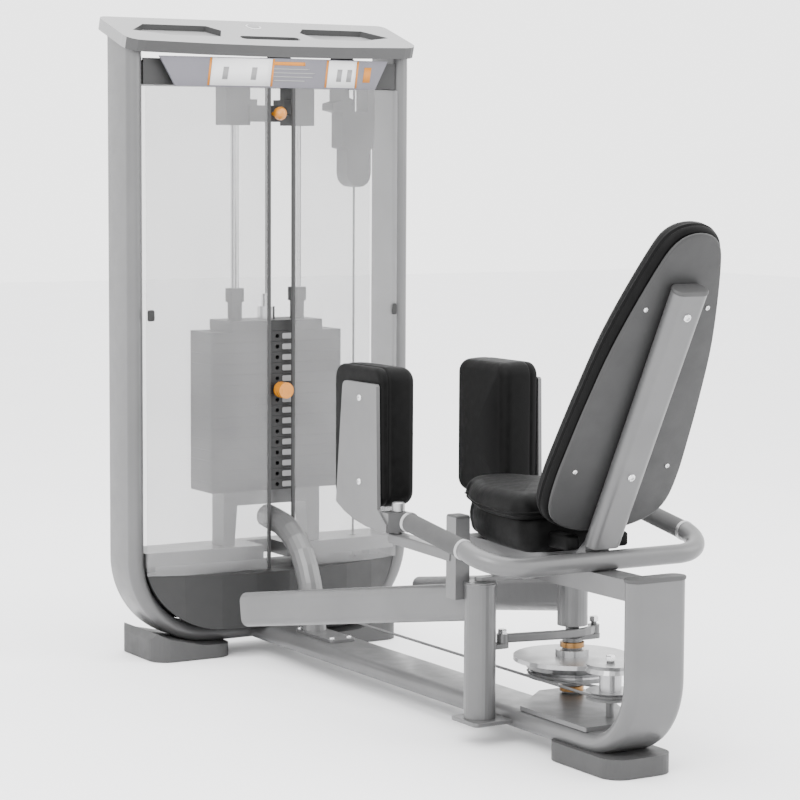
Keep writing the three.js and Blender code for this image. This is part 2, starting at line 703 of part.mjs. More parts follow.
function rightArm() {
  const body = mirrored(armBody(218, POST_RADIUS - 1));
  const neck = upright(14, PIVOT_X, PIVOT_Y, LINK_Z - 12, 219, 24);
  const shaft = upright(SHAFT_RADIUS, PIVOT_X, PIVOT_Y, BEAM_TOP + 10, LINK_Z - 4, 24);
  const lug = slab(oval(LINK_REACH + 26, 26), LINK_Z - 10, LINK_Z - GAP)
    .translate(PIVOT_X + LINK_REACH / 2, PIVOT_Y, 0);
  const stud = upright(6, PIVOT_X + LINK_REACH, PIVOT_Y, LINK_Z - 5, LINK_Z + 26, 16);
  const waist = cut(
    block([PIVOT_X - 40, PIVOT_X + 40], [PIVOT_Y - 40, PIVOT_Y + 40], [LINK_Z - GAP, 217.5]),
    upright(14, PIVOT_X, PIVOT_Y, 100, 300, 24),
    upright(6, PIVOT_X + LINK_REACH, PIVOT_Y, 100, 300, 16),
  );
  return cut(join(body, neck, shaft, lug, stud), waist);
}

// The cross link that makes the arms swing together, bowed round the right shaft.
function tieLink() {
  const stations = smoothPath([
    point(-PIVOT_X + LINK_REACH, PIVOT_Y, 0), point(10, PIVOT_Y - 14, 0), point(80, PIVOT_Y - 26, 0),
    point(PIVOT_X + 18, PIVOT_Y - 23, 0), point(PIVOT_X + LINK_REACH, PIVOT_Y, 0),
  ], 10).map((station) => station.setZ(LINK_Z + 9));
  const bar = sweep(roundedRect(18, 14, 4), stations, SIDE_Z, 2);
  const ends = [-PIVOT_X, PIVOT_X].map((x) => upright(12, x + LINK_REACH, PIVOT_Y, LINK_Z, LINK_Z + 18));
  const bores = [-PIVOT_X, PIVOT_X].map((x) => upright(6.4, x + LINK_REACH, PIVOT_Y, 100, 300, 16));
  return cut(join(bar, ...ends), ...bores);
}

// A thin disc over a grooved cable wheel, clamped to the right arm's shaft.
function camWheel() {
  const bore = SHAFT_RADIUS + GAP;
  const z = CABLE_RUN_Z;
  const groove = CAM_TURN - CABLE_RADIUS - 2;
  return turned([
    [bore, z - 9], [CAM_TURN + 3, z - 9], [groove, z - 2], [groove, z + 2], [CAM_TURN + 3, z + 9],
    [40, z + 9], [40, 146], [120, 146], [120, 155], [34, 155], [34, 168], [bore, 168],
  ], 36).translate(PIVOT_X, PIVOT_Y, 0);
}

// Two grooved wheels on one sleeve; the lower one turns the cable back to the cam wheel.
function idlerPulleys() {
  const z = CABLE_RUN_Z;
  const groove = IDLER_TURN - CABLE_RADIUS - 1.2;
  const bore = 8.4;
  return turned([
    [bore, z - 8], [48, z - 8], [groove, z - 1.5], [groove, z + 1.5], [48, z + 8], [22, z + 8],
    [22, 168], [50, 168], [45, 176], [50, 184], [bore, 184],
  ], 28).translate(IDLER[0], IDLER[1], 0);
}

// Outer plate of a thigh pad, with a foot folded in under the pad to the arm's pin.
function padPlate() {
  const outline = new THREE.Shape();
  outline.moveTo(-888, 696);
  outline.lineTo(-894, 444);
  outline.lineTo(-930, 416);
  outline.lineTo(-930, 400);
  outline.lineTo(-896, 400);
  outline.quadraticCurveTo(-790, 404, -722, 442);
  outline.lineTo(-748, 686);
  outline.quadraticCurveTo(-750, 700, -766, 700);
  outline.lineTo(-884, 700);
  const plate = wallX(outline, -PAD_OUTER - 9, -PAD_OUTER - 1);
  const fold = block([-PAD_OUTER - 5, -HUB[0] + 18], [-932, -894], [400, 440]);
  const bore = upright(9.4, -HUB[0], HUB[1], 380, 460, 16);
  return cut(join(plate, fold), bore);
}

function thighPad() {
  const width = PAD_OUTER - PAD_INNER;
  const depth = PAD_Y[1] - PAD_Y[0];
  const plan = roundedRect(width, depth, 26, -(PAD_OUTER + PAD_INNER) / 2, (PAD_Y[0] + PAD_Y[1]) / 2);
  return slab(plan, PAD_Z[0] + 10, PAD_Z[1]);
}

add('drive_bracket', driveBracket(), silverPaint);
add('left_arm', leftArm(), silverPaint);
add('right_arm', rightArm(), silverPaint);
add('tie_link', tieLink(), silverPaint);
add('cam_wheel', camWheel(), wheelSteel);
add('idler_pulleys', idlerPulleys(), wheelSteel);
add('left_pad_plate', padPlate(), silverPaint);
add('right_pad_plate', mirrored(padPlate()), silverPaint);
add('left_thigh_pad', thighPad(), blackVinyl);
add('right_thigh_pad', mirrored(thighPad()), blackVinyl);

// ---------------------------------------------------------------- seat, backrest, handlebar

// Lays a piece drawn in the back's own frame (x across, y along the back, z towards the user)
// on the leaning back tube.
function onBack(geometry) {
  return geometry.rotateY(Math.PI).rotateX(Math.PI / 2 + LEAN)
    .translate(0, BACK_FOOT[0], BACK_FOOT[1]);
}

function backTube() {
  const section = oval(BACK_TUBE_WIDTH, BACK_TUBE_THICK);
  const middle = BACK_TUBE_THICK / 2;
  return onBack(sweep(section, [point(0, 30, middle), point(0, 592, middle)], SIDE_X));
}

const BACK_OUTLINE = [
  [0, 50], [62, 55], [114, 78], [137, 112], [142, 170], [138, 240], [128, 350], [110, 477],
  [70, 632], [43, 686], [0, 702],
];

function backOutline(margin, divisions) {
  const right = BACK_OUTLINE.map(([x, y]) => [x === 0 ? 0 : x + margin, y + (y > 400 ? margin : -margin)]);
  const left = right.slice(1, -1).reverse().map(([x, y]) => [-x, y]);
  return smoothOutline([...right, ...left, right[0]], divisions);
}

const gripEnd = (sign, [x, y, z]) => point(sign * x, y, z);
const gripDirection = (sign) => gripEnd(sign, GRIP_FRONT).sub(gripEnd(sign, GRIP_REAR)).normalize();

// The bar behind the seat; its last short run lines up with the grips.
function handlebar() {
  const ends = [-1, 1].map((sign) => gripEnd(sign, GRIP_REAR));
  const joints = [-1, 1].map((sign) => gripEnd(sign, GRIP_REAR).addScaledVector(gripDirection(sign), -6));
  const corners = [-1, 1].map((sign) => point(sign * (GRIP_REAR[0] - 3), BAR_REAR, BAR_REAR_Z));
  const bend = bentPath([joints[0], ...corners, joints[1]], 82);
  return sweep(disc(BAR_RADIUS), [ends[0], ...bend, ends[1]], SIDE_Z);
}

// Rail from the rear upright, seat pan, plate over both pivots and the leaning back tube.
function seatFrame() {
  const railTop = BAR_REAR_Z - BAR_RADIUS - GAP;
  const rail = block([-30, 30], [REAR_FACE + TUBE_THICK + GAP, -1060], [334, railTop]);
  const pan = slab(roundedRect(150, 290, 20, 0, -1160), railTop - 1, SEAT_BOTTOM - GAP);
  const pivotPlate = slab(oval(2 * PIVOT_X + 24, 24), 326, 334).translate(0, PIVOT_Y, 0);
  const pivotBlock = block([-30, 30], [PIVOT_Y - 26, PIVOT_Y + 26], [326, 335]);
  const web = wallX(polygon([
    [-1385, 370], [-1345, 370], [-1345, 396], [-1398, 446], [-1404, 428], [-1385, 418],
  ]), -28, 28);
  return join(rail, pan, pivotPlate, pivotBlock, web, backTube());
}

// Plan of the seat: full width at the back, narrowing to a rounded nose.
function seatPlan(inset) {
  const half = 146 - inset;
  const back = -1330 + inset / 4;
  const nose = -984 - inset / 4;
  const shape = new THREE.Shape();
  shape.moveTo(0, back);
  shape.lineTo(half - 34, back);
  shape.quadraticCurveTo(half, back, half, back + 40);
  shape.bezierCurveTo(half, back + 150, half - 26, nose - 90, half - 40, nose - 40);
  shape.quadraticCurveTo(half - 52, nose, 0, nose);
  shape.quadraticCurveTo(-half + 52, nose, -half + 40, nose - 40);
  shape.bezierCurveTo(-half + 26, nose - 90, -half, back + 150, -half, back + 40);
  shape.quadraticCurveTo(-half, back, -half + 34, back);
  return shape;
}

function grip(sign) {
  const rear = gripEnd(sign, GRIP_REAR).addScaledVector(gripDirection(sign), GAP);
  return rod(BAR_RADIUS, rear, gripEnd(sign, GRIP_FRONT), 24);
}

add('seat_frame', seatFrame(), silverPaint);
const seatLower = slab(seatPlan(24), SEAT_BOTTOM, 469);
const seatUpper = slab(seatPlan(0), 468, SEAT_TOP);
const seatTail = cut(
  block([-72, 72], [-1392, -1310], [413, 444]),
  block([-41, 41], [-1500, -1338], [400, 460]),
);
add('seat_pad', join(seatLower, seatUpper, seatTail), blackVinyl);
const shellBack = BACK_TUBE_THICK + GAP;
const shellFront = shellBack + 8;
add('backrest_shell', onBack(slab(backOutline(0, 32), shellBack, shellFront)), shellPlastic);
add('backrest_pad', onBack(slab(backOutline(7, 32), shellFront + GAP, shellFront + 56)), blackVinyl);
add('handlebar', handlebar(), silverPaint);
add('left_grip', grip(-1), gripRubber);
add('right_grip', grip(1), gripRubber);

// ---------------------------------------------------------------- place the whole machine

// The origin is on the floor, under the middle of the machine's outline.
const outlineBox = new THREE.Box3().setFromObject(machine);
machine.position.y = -(outlineBox.min.y + outlineBox.max.y) / 2;

export default machine;
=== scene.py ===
# Hip abductor machine: looks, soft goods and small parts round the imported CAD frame.
# Metres, +Z up. The user faces +Y, towards the weight tower, and +X is on the user's right.
import json
import math

import bpy
from mathutils import Matrix, Vector, noise


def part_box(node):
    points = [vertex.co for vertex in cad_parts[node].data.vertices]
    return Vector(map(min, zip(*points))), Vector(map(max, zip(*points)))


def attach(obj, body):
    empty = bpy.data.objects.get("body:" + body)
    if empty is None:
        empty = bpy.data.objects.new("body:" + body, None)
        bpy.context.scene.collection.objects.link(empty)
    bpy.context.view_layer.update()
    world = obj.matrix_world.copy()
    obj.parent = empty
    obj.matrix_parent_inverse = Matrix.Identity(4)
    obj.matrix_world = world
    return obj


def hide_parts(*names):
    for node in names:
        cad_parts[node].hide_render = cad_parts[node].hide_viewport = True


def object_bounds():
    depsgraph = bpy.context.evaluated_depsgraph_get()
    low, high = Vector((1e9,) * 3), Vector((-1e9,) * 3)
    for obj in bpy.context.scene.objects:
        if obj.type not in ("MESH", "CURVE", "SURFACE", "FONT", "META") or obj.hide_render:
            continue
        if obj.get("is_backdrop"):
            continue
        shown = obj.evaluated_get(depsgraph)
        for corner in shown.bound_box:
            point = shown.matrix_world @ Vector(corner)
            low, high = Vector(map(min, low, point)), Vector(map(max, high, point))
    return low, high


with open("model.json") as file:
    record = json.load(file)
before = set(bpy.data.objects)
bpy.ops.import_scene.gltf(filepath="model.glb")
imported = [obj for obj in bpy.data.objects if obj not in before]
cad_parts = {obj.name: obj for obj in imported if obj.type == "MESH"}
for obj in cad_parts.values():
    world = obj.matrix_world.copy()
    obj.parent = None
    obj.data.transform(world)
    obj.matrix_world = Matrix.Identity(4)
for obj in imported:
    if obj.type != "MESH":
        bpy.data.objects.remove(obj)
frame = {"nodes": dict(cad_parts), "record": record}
cad_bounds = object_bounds()

MM = 0.001
FRAME = "machine_frame"

# ---------------------------------------------------------------- places read from the frame


def low(node):
    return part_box(node)[0]


def high(node):
    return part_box(node)[1]


def middle(node):
    return (low(node) + high(node)) / 2


TUBE_THICK = 39 * MM
TUBE_WIDTH = 130 * MM
TOWER_BEND = 185 * MM
BEAM_BEND = 140 * MM
CAP_SLOPE = 0.34
CAP_BOTTOM = 1426 * MM  # underside of the cap on the tower's centre plane
CAP_THICK = 27 * MM
SEAT_SPLIT = 468 * MM  # height where the seat's two layers meet
SEAT_REAR = 1330 * MM  # the seat's rear edge, behind the tower's centre plane
PLATE_COUNT = 15
SELECTED = 6  # plates that lift with the head plate
TOWER_Y = high("tower_frame").y - TUBE_WIDTH / 2
TOWER_HALF = high("tower_frame").x
PIVOT = {side: Vector((middle("cam_wheel").x * sign, middle("cam_wheel").y, 0))
         for side, sign in (("left", -1), ("right", 1))}
SIGN = {"left": -1, "right": 1}

# ---------------------------------------------------------------- materials


def node_material(name):
    material = bpy.data.materials.new(name)
    material.use_nodes = True
    nodes = material.node_tree.nodes
    return material, nodes, material.node_tree.links, nodes["Principled BSDF"]


def noise_texture(nodes, links, scale, detail=4.0, roughness=0.55):
    coordinates = nodes.new("ShaderNodeTexCoord")
    texture = nodes.new("ShaderNodeTexNoise")
    texture.inputs["Scale"].default_value = scale
    texture.inputs["Detail"].default_value = detail
    texture.inputs["Roughness"].default_value = roughness
    links.new(coordinates.outputs["Object"], texture.inputs["Vector"])
    return texture


def vary(nodes, links, factor, low_value, high_value, target):
    spread = nodes.new("ShaderNodeMapRange")
    spread.inputs["From Min"].default_value = 0.3
    spread.inputs["From Max"].default_value = 0.7
    spread.inputs["To Min"].default_value = low_value
    spread.inputs["To Max"].default_value = high_value
    links.new(factor, spread.inputs["Value"])
    links.new(spread.outputs["Result"], target)


def tint(nodes, links, factor, dark, light, target):
    ramp = nodes.new("ShaderNodeValToRGB")
    ramp.color_ramp.elements[0].position = 0.35
    ramp.color_ramp.elements[0].color = (*dark, 1)
    ramp.color_ramp.elements[1].position = 0.65
    ramp.color_ramp.elements[1].color = (*light, 1)
    links.new(factor, ramp.inputs["Fac"])
    links.new(ramp.outputs["Color"], target)
    return ramp


def bump(nodes, links, height, strength, distance, shader):
    relief = nodes.new("ShaderNodeBump")
    relief.inputs["Strength"].default_value = strength
    relief.inputs["Distance"].default_value = distance
    links.new(height, relief.inputs["Height"])
    links.new(relief.outputs["Normal"], shader.inputs["Normal"])


def surface(name, color, roughness, metallic=0.0, spread=0.06, grain=700.0, relief=0.12, coat=0.0):
    """A hard surface with soft cloudy variation, uneven gloss and a fine grain."""
    material, nodes, links, shader = node_material(name)
    clouds = noise_texture(nodes, links, 6.0)
    dark = tuple(channel * (1 - spread) for channel in color)
    light = tuple(min(channel * (1 + spread), 1) for channel in color)
    tint(nodes, links, clouds.outputs["Fac"], dark, light, shader.inputs["Base Color"])
    smears = noise_texture(nodes, links, 28.0, 6.0)
    vary(nodes, links, smears.outputs["Fac"], roughness * 0.85, roughness * 1.15,
         shader.inputs["Roughness"])
    fine = noise_texture(nodes, links, grain, 3.0)
    bump(nodes, links, fine.outputs["Fac"], relief, 0.0004, shader)
    shader.inputs["Metallic"].default_value = metallic
    shader.inputs["Specular IOR Level"].default_value = 0.35
    shader.inputs["Coat Weight"].default_value = coat
    shader.inputs["Coat Roughness"].default_value = 0.15
    return material


def grey(level):
    return (level, level, level * 1.01)


def clear_sheet():
    material, nodes, links, shader = node_material("clear_plastic")
    smears = noise_texture(nodes, links, 9.0)
    vary(nodes, links, smears.outputs["Fac"], 0.05, 0.12, shader.inputs["Roughness"])
    tint(nodes, links, smears.outputs["Fac"], grey(0.30), grey(0.36), shader.inputs["Base Color"])
    shader.inputs["Alpha"].default_value = 0.2
    shader.inputs["IOR"].default_value = 1.45
    return material


def vinyl():
    """Black vinyl: a pebbled grain with faint creases and a soft sheen."""
    material, nodes, links, shader = node_material("black_vinyl")
    coordinates = nodes.new("ShaderNodeTexCoord")
    pebbles = nodes.new("ShaderNodeTexVoronoi")
    pebbles.inputs["Scale"].default_value = 420.0
    links.new(coordinates.outputs["Object"], pebbles.inputs["Vector"])
    creases = noise_texture(nodes, links, 60.0, 6.0)
    blend = nodes.new("ShaderNodeMath")
    blend.operation = "MULTIPLY_ADD"
    blend.inputs[1].default_value = 0.6
    links.new(pebbles.outputs["Distance"], blend.inputs[0])
    links.new(creases.outputs["Fac"], blend.inputs[2])
    bump(nodes, links, blend.outputs["Value"], 0.25, 0.0006, shader)
    tint(nodes, links, creases.outputs["Fac"], grey(0.0015), grey(0.003), shader.inputs["Base Color"])
    vary(nodes, links, creases.outputs["Fac"], 0.48, 0.62, shader.inputs["Roughness"])
    shader.inputs["Specular IOR Level"].default_value = 0.08
    return material


def cap_plastic_and_painted_shade():
    """Light moulded tray. Its front lip, facing forwards and down, gets a painted shade: faces turned
    downwards are painted dark grey.
    """
    material, nodes, links, shader = node_material("cap_plastic")
    geometry = nodes.new("ShaderNodeNewGeometry")
    split = nodes.new("ShaderNodeSeparateXYZ")
    links.new(geometry.outputs["Normal"], split.inputs["Vector"])
    # painted shade: a mask of the faces that turn downwards, away from the light above
    painted_shade_mask = nodes.new("ShaderNodeMath")
    painted_shade_mask.operation = "LESS_THAN"
    painted_shade_mask.inputs[1].default_value = -0.15
    links.new(split.outputs["Z"], painted_shade_mask.inputs[0])
    clouds = noise_texture(nodes, links, 7.0)
    light = tint(nodes, links, clouds.outputs["Fac"], grey(0.20), grey(0.23),
                 shader.inputs["Base Color"])
    own_colour_and_painted_shade = nodes.new("ShaderNodeMix")
    own_colour_and_painted_shade.data_type = "RGBA"
    # painted shade: the downward faces get this dark grey in place of the cap's own light grey
    own_colour_and_painted_shade.inputs["B"].default_value = (*grey(0.035), 1)
    links.new(painted_shade_mask.outputs["Value"], own_colour_and_painted_shade.inputs["Factor"])
    links.new(light.outputs["Color"], own_colour_and_painted_shade.inputs["A"])
    links.new(own_colour_and_painted_shade.outputs["Result"], shader.inputs["Base Color"])
    fine = noise_texture(nodes, links, 500.0, 3.0)
    bump(nodes, links, fine.outputs["Fac"], 0.15, 0.0004, shader)
    vary(nodes, links, clouds.outputs["Fac"], 0.38, 0.5, shader.inputs["Roughness"])
    return material


def ribbed_rubber():
    material, nodes, links, shader = node_material("grip_rubber")
    clouds = noise_texture(nodes, links, 40.0)
    tint(nodes, links, clouds.outputs["Fac"], grey(0.032), grey(0.048), shader.inputs["Base Color"])
    coordinates = nodes.new("ShaderNodeTexCoord")
    ribs = nodes.new("ShaderNodeTexWave")
    ribs.bands_direction = "Y"
    ribs.inputs["Scale"].default_value = 90.0
    ribs.inputs["Distortion"].default_value = 0.4
    links.new(coordinates.outputs["Object"], ribs.inputs["Vector"])
    bump(nodes, links, ribs.outputs["Fac"], 0.35, 0.0006, shader)
    vary(nodes, links, clouds.outputs["Fac"], 0.65, 0.85, shader.inputs["Roughness"])
    return material


LOOKS = {
    "silver_paint": surface("silver_paint", grey(0.105), 0.36, 0.35, coat=0.1),
    "dark_paint": surface("dark_paint", grey(0.03), 0.45, 0.2),
    "foot_plastic": surface("foot_plastic", grey(0.042), 0.6, relief=0.3),
    "cap_plastic": cap_plastic_and_painted_shade(),
    "sign_plastic": surface("sign_plastic", (0.12, 0.117, 0.135), 0.5, relief=0.05),
    "dark_plastic": surface("dark_plastic", grey(0.014), 0.5, relief=0.2),
    "clear_plastic": clear_sheet(),
    "chrome": surface("chrome", grey(0.5), 0.16, 1.0, spread=0.03, relief=0.03),
    "plate_iron": surface("plate_iron", grey(0.02), 0.5, 0.25, relief=0.35, grain=450.0),
    "orange_plastic": surface("orange_plastic", (0.42, 0.15, 0.004), 0.3, relief=0.05, coat=0.4),
    "cable_sheath": surface("cable_sheath", grey(0.1), 0.45),
    "wheel_metal": surface("wheel_metal", grey(0.34), 0.32, 0.8, relief=0.1),
    "black_vinyl": vinyl(),
    "shell_plastic": surface("shell_plastic", grey(0.02), 0.5, relief=0.3, grain=500.0),
    "grip_rubber": ribbed_rubber(),
    "bolt_steel": surface("bolt_steel", grey(0.62), 0.25, 0.9, relief=0.05),
    "bronze": surface("bronze", (0.24, 0.13, 0.05), 0.35, 0.9),
    "sign_white": surface("sign_white", grey(0.6), 0.5, relief=0.03),
    "sign_orange": surface("sign_orange", (0.42, 0.15, 0.01), 0.5, relief=0.03),
    "sign_grey": surface("sign_grey", grey(0.2), 0.5, relief=0.03),
}

# ---------------------------------------------------------------- mesh helpers


def finish_piece(piece, look, body, replaced=(), smooth_angle=35):
    """Puts a look and smooth faces on a piece, rides it on its body and hides the CAD parts it replaces."""
    piece.data.materials.clear()
    piece.data.materials.append(LOOKS[look])
    for polygon in piece.data.polygons:
        polygon.use_smooth = True
    piece.data.set_sharp_from_angle(angle=math.radians(smooth_angle))
    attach(piece, body)
    if replaced:
        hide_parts(*replaced)
    return piece


def mesh_piece(name, vertices, faces):
    mesh = bpy.data.meshes.new(name)
    mesh.from_pydata([tuple(vertex) for vertex in vertices], [], faces)
    mesh.validate()
    piece = bpy.data.objects.new(name, mesh)
    bpy.context.scene.collection.objects.link(piece)
    return piece


def skin_rings(rings):
    """Faces that join closed rings of equal length one after the other, and close both ends."""
    count = len(rings[0])
    vertices = [vertex for ring in rings for vertex in ring]
    faces = []
    for ring in range(len(rings) - 1):
        for i in range(count):
            a = ring * count + i
            b = ring * count + (i + 1) % count
            faces.append((a, b, b + count, a + count))
    faces.append(tuple(reversed(range(count))))
    faces.append(tuple(range((len(rings) - 1) * count, len(rings) * count)))
    return vertices, faces


def oval_section(width, height, radius, steps=8):
    """Points of a rounded rectangle, centred, going anticlockwise."""
    points = []
    for corner, (sx, sy) in enumerate(((1, 1), (-1, 1), (-1, -1), (1, -1))):
        for k in range(steps + 1):
            angle = math.radians(90 * corner + 90 * k / steps)
            x = sx * (width / 2 - radius) + radius * math.cos(angle)
            y = sy * (height / 2 - radius) + radius * math.sin(angle)
            points.append((x, y))
    return points


def circle_section(radius, steps=32):
    return [(radius * math.cos(2 * math.pi * k / steps), radius * math.sin(2 * math.pi * k / steps))
            for k in range(steps)]


def bent_path(corners, radius, steps=24):
    """Straight runs joined by round bends."""
    points = [corners[0]]
    for before, corner, after in zip(corners, corners[1:], corners[2:]):
        into = (corner - before).normalized()
        out = (after - corner).normalized()
        turn = into.angle(out)
        start = corner - into * radius * math.tan(turn / 2)
        across = (out - into * math.cos(turn)).normalized()
        for k in range(steps + 1):
            angle = turn * k / steps
            points.append(start + into * radius * math.sin(angle)
                          + across * radius * (1 - math.cos(angle)))
    points.append(corners[-1])
    return points


def sweep_rings(section, path, side):
    rings = []
    last = len(path) - 1
    for i, place in enumerate(path):
        tangent = (path[min(i + 1, last)] - path[max(i - 1, 0)]).normalized()
        across = (side - tangent * side.dot(tangent)).normalized()
        other = tangent.cross(across)
        rings.append([place + across * x + other * y for x, y in section])
    return rings


def tube(name, section, path, side):
    return mesh_piece(name, *skin_rings(sweep_rings(section, path, side)))


def add_bevel(piece, width, segments=2, angle=35):
    bevel = piece.modifiers.new("edges", "BEVEL")
    bevel.width = width
    bevel.segments = segments
    bevel.limit_method = "ANGLE"
    bevel.angle_limit = math.radians(angle)
    return piece


def turned_piece(name, profile, base, axis, steps=40):
    """A lathe form: profile is [(radius, height)], from its foot up along axis."""
    turn = axis.normalized().to_track_quat("Z", "Y")
    rings = []
    for radius, height in profile:
        ring = []
        for k in range(steps):
            angle = 2 * math.pi * k / steps
            spot = Vector((radius * math.cos(angle), radius * math.sin(angle), height))
            ring.append(base + turn @ spot)
        rings.append(ring)
    return mesh_piece(name, *skin_rings(rings))


def bolt(name, place, axis, radius, body):
    """A domed screw head with a recessed round socket."""
    height = radius * 0.55
    profile = [(radius, -0.001), (radius, height * 0.35), (radius * 0.93, height * 0.7),
               (radius * 0.72, height), (radius * 0.48, height), (radius * 0.45, height * 0.4),
               (radius * 0.05, height * 0.35)]
    piece = turned_piece(name, profile, place, axis, 24)
    return finish_piece(piece, "bolt_steel", body, smooth_angle=50)


def rounded_slab(name, section, origin, u, v, w, thickness, edge):
    """A flat plate with rounded edges; section is drawn along u and v, thickness goes along w."""
    centre_x = sum(x for x, _ in section) / len(section)
    centre_y = sum(y for _, y in section) / len(section)
    width = max(x for x, _ in section) - min(x for x, _ in section)
    rings = []
    for k in range(5):
        angle = math.radians(90 * k / 4)
        inset = edge * (1 - math.sin(angle))
        rings.append((inset, edge * (1 - math.cos(angle))))
    rings += [(inset, thickness - height) for inset, height in reversed(rings)]
    loops = []
    for inset, height in rings:
        scale = 1 - 2 * inset / width
        loops.append([origin + u * (centre_x + (x - centre_x) * scale)
                      + v * (centre_y + (y - centre_y) * scale) + w * height for x, y in section])
    return mesh_piece(name, *skin_rings(loops))


# ---------------------------------------------------------------- carried-over CAD nodes


def dress_frame():
    """Every CAD node gets its slot's finish, smooth faces and softened edges."""
    slots = {entry["node"]: entry["material_slot"] for entry in frame["record"]["subparts"]}
    for name, node in frame["nodes"].items():
        node.data.materials.clear()
        node.data.materials.append(LOOKS[slots[name]])
        for polygon in node.data.polygons:
            polygon.use_smooth = True
        node.data.set_sharp_from_angle(angle=math.radians(32))


dress_frame()
for crisp in ("top_cap", "left_pad_plate", "right_pad_plate", "seat_frame", "drive_bracket",
              "cable_guard", "left_top_stop", "right_top_stop"):
    add_bevel(frame["nodes"][crisp], 1.2 * MM)
for moulded in ("left_foot", "right_foot", "rear_foot"):
    add_bevel(frame["nodes"][moulded], 5 * MM, segments=3)

# ---------------------------------------------------------------- tower


def tower_tube():
    """The U-shaped tube, its two ends cut to the slope of the cap."""
    x = TOWER_HALF - TUBE_THICK / 2
    z = low("main_beam").z + TUBE_THICK / 2
    top = high("tower_frame").z
    corners = [Vector((-x, TOWER_Y, top)), Vector((-x, TOWER_Y, z)),
               Vector((x, TOWER_Y, z)), Vector((x, TOWER_Y, top))]
    path = bent_path(corners, TOWER_BEND)
    section = oval_section(TUBE_WIDTH, TUBE_THICK, TUBE_THICK / 2)
    rings = sweep_rings(section, path, Vector((0, 1, 0)))
    for ring in (rings[0], rings[-1]):
        for vertex in ring:
            vertex.z = top - CAP_SLOPE * (TOWER_Y + TUBE_WIDTH / 2 - vertex.y)
    piece = mesh_piece("tower_tube", *skin_rings(rings))
    return finish_piece(piece, "silver_paint", FRAME, replaced=("tower_frame",))


def beam_tube():
    y = low("main_beam").y + TUBE_THICK / 2
    z = low("main_beam").z + TUBE_THICK / 2
    top = high("main_beam").z
    corners = [Vector((0, high("main_beam").y, z)), Vector((0, y, z)), Vector((0, y, top))]
    section = oval_section(TUBE_WIDTH, TUBE_THICK, TUBE_THICK / 2)
    piece = tube("beam_tube", section, bent_path(corners, BEAM_BEND), Vector((1, 0, 0)))
    finish_piece(piece, "silver_paint", FRAME, replaced=("main_beam",))
    cap_section = oval_section(TUBE_WIDTH + 3 * MM, TUBE_THICK + 3 * MM, TUBE_THICK / 2)
    cap = rounded_slab("rear_upright_cap", cap_section, Vector((0, y, top - 2 * MM)), Vector((1, 0, 0)),
                       Vector((0, 1, 0)), Vector((0, 0, 1)), 8 * MM, 3 * MM)
    finish_piece(cap, "foot_plastic", FRAME)
    plate_section = oval_section(96 * MM, 96 * MM, 10 * MM)
    centre = PIVOT["left"] + Vector((8 * MM, 0, 41 * MM))
    plate = rounded_slab("left_pivot_plate", plate_section, centre, Vector((1, 0, 0)),
                         Vector((0, 1, 0)), Vector((0, 0, 1)), 9 * MM, 2 * MM)
    finish_piece(plate, "silver_paint", FRAME)


def sign_spot(x, z):
    """A point just in front of the bowed sign panel."""
    front = low("placard").y
    bow = 2.4
    return Vector((x, front + bow - math.sqrt(bow * bow - x * x) - 0.6 * MM, z))


def sign_patch(name, left, right, bottom, top, look, lean=0.0):
    """A thin printed patch that follows the bow of the sign panel."""
    columns = 10
    rows = []
    for z, shift in ((bottom, 0.0), (top, lean)):
        rows.append([sign_spot(left + (right - left) * k / columns + shift, z)
                     for k in range(columns + 1)])
    vertices = rows[0] + rows[1]
    count = columns + 1
    faces = [(i, i + 1, count + i + 1, count + i) for i in range(columns)]
    piece = mesh_piece(name, vertices, faces)
    thick = piece.modifiers.new("thickness", "SOLIDIFY")
    thick.thickness = 0.5 * MM
    return finish_piece(piece, look, FRAME)


def sign_graphics():
    """Two plain instruction panels, a title bar and lines: no lettering."""
    bottom = low("placard").z + 3 * MM
    top = high("placard").z - 2 * MM
    for name, left, right in (("sign_panel_left", -180, -28), ("sign_panel_right", 124, 202)):
        sign_patch(name, left * MM, right * MM, bottom, top, "sign_white", 8 * MM)
        sign_patch(name + "_edge_a", (left - 6) * MM, (left - 1) * MM, bottom, top, "sign_orange", 8 * MM)
        sign_patch(name + "_edge_b", (right + 1) * MM, (right + 6) * MM, bottom, top, "sign_orange", 8 * MM)
    sign_patch("sign_title", -18 * MM, 66 * MM, top - 14 * MM, top - 6 * MM, "sign_orange")
    for row in range(4):
        height = top - (24 + 9 * row) * MM
        length = (96, 110, 104, 82)[row] * MM
        sign_patch(f"sign_line_{row}", -18 * MM, -18 * MM + length, height, height + 3 * MM, "sign_grey")
    sign_patch("sign_mark", 226 * MM, 246 * MM, bottom + 14 * MM, top - 14 * MM, "sign_orange", 6 * MM)
    for spot, x in enumerate((-150, -78, 150, 178)):
        sign_patch(f"sign_figure_{spot}", x * MM, (x + 14) * MM, bottom + 14 * MM, top - 20 * MM,
                   "sign_grey", 5 * MM)


def cap_badge():
    """A small plain disc on the middle of the cap."""
    tilt = math.atan(CAP_SLOPE)
    up = Vector((0, -math.sin(tilt), math.cos(tilt)))
    behind = 38 * MM
    top = CAP_BOTTOM + CAP_SLOPE * behind + CAP_THICK / math.cos(tilt)
    centre = Vector((0, TOWER_Y + behind, top))
    for name, radius, look, height in (("cap_badge_rim", 19, "bolt_steel", 1.4),
                                       ("cap_badge", 15, "sign_grey", 2.4)):
        profile = [(radius * MM, -1 * MM), (radius * MM, height * 0.6 * MM),
                   (radius * 0.9 * MM, height * MM), (0.2 * MM, height * MM)]
        finish_piece(turned_piece(name, profile, centre, up), look, FRAME)


